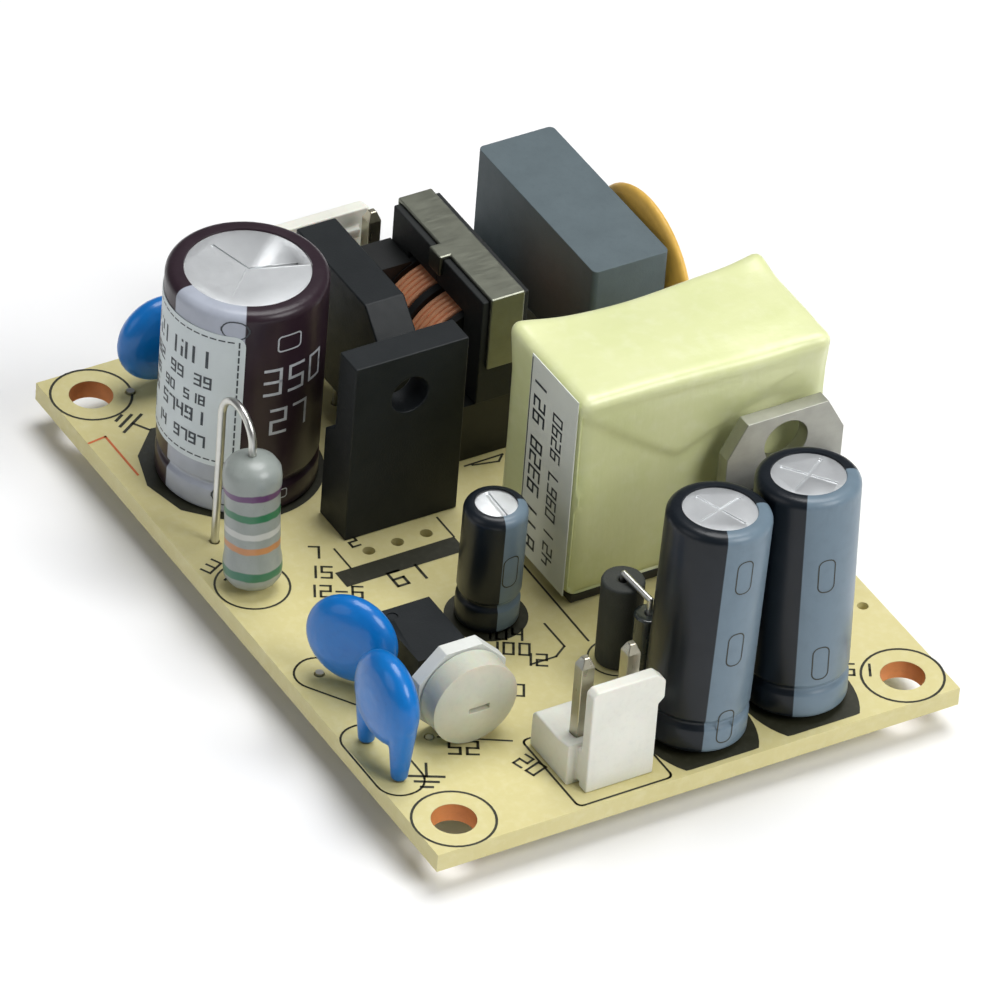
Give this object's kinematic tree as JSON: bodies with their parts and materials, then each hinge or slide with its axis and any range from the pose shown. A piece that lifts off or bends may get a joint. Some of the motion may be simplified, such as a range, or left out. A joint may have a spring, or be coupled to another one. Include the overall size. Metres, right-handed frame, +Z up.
{
  "type": "open frame power supply",
  "caption": "Open frame power supply: a bare board with a mains input header, filter parts, taped transformer, trimmer and low-voltage output header.",
  "frame": {"origin": "middle of the four mounting holes, on the board's underside", "axes": "+X along the board from the mains input end to the output end, +Y across the board, +Z up out of the component side"},
  "size_m": [0.0636, 0.0456, 0.0239],
  "materials": {
    "board_laminate": "satin cream laminate with dark printed legend",
    "solder": "bright soldered joints",
    "tinned_wire": "tinned copper wire",
    "chip_epoxy": "moulded black epoxy",
    "can_aluminium": "bright drawn aluminium",
    "bulk_sleeve": "shrunk brown-purple sleeve with a lavender stripe",
    "label_paper": "satin white label",
    "connector_nylon": "moulded white nylon",
    "pin_tin": "tin-plated pins",
    "ferrite": "ground dark ferrite",
    "bobbin_plastic": "moulded black plastic",
    "copper_winding": "enamelled copper wire",
    "yellow_film": "thin yellow film",
    "clip_steel": "bare spring steel",
    "line_capacitor_case": "moulded blue-grey case",
    "surge_coating": "dipped orange-yellow coating",
    "fuse_case": "moulded dark case",
    "blue_coating": "dipped glossy blue coating",
    "resistor_coating": "grey lacquer with coloured bands",
    "transformer_tape": "pale yellow polyester tape with folded ends",
    "tab_metal": "plated metal tab",
    "trimmer_plate": "moulded white plate",
    "trimmer_dial": "milky moulded dial",
    "bead_ferrite": "dark ferrite",
    "diode_epoxy": "moulded black epoxy",
    "output_sleeve": "shrunk navy-black sleeve with a blue-grey stripe"
  },
  "bodies": {
    "board": {"circuit_board": "board_laminate", "solder_joints": "solder", "component_leads": "tinned_wire", "control_chip": "chip_epoxy", "bulk_capacitor": "can_aluminium", "bulk_capacitor_sleeve": "bulk_sleeve", "bulk_capacitor_label": "label_paper", "input_housing": "connector_nylon", "input_pins": "pin_tin", "output_housing": "connector_nylon", "output_pins": "pin_tin", "choke_core_rear": "ferrite", "choke_core_front": "ferrite", "choke_bobbin": "bobbin_plastic", "choke_winding_rear": "copper_winding", "choke_winding_front": "copper_winding", "choke_film": "yellow_film", "choke_clip": "clip_steel", "line_capacitor": "line_capacitor_case", "surge_disc": "surge_coating", "fuse": "fuse_case", "bridge_rectifier": "chip_epoxy", "disc_capacitor_input": "blue_coating", "disc_capacitor_left": "blue_coating", "disc_capacitor_right": "blue_coating", "switch_transistor": "chip_epoxy", "damping_resistor": "resistor_coating", "resistor_lead": "tinned_wire", "transformer": "transformer_tape", "transformer_base": "bobbin_plastic", "transformer_label": "label_paper", "rectifier_tab": "tab_metal", "rectifier_body": "chip_epoxy", "optocoupler": "chip_epoxy", "optocoupler_legs": "tinned_wire", "trimmer_base": "trimmer_plate", "ferrite_bead": "bead_ferrite", "output_diode": "diode_epoxy", "diode_lead": "tinned_wire", "small_capacitor": "can_aluminium", "small_capacitor_sleeve": "output_sleeve", "output_capacitor_left": "can_aluminium", "output_sleeve_left": "output_sleeve", "output_capacitor_right": "can_aluminium", "output_sleeve_right": "output_sleeve"},
    "dial": {"trimmer_dial": "trimmer_dial"}
  },
  "joints": [
    {"name": "trimmer_turn", "type": "hinge", "parent": "board", "child": "dial", "pos_m": [0.0194, -0.01405, 0.00545], "axis": [1, 0, 0], "range_deg": [-110, 110]}
  ]
}
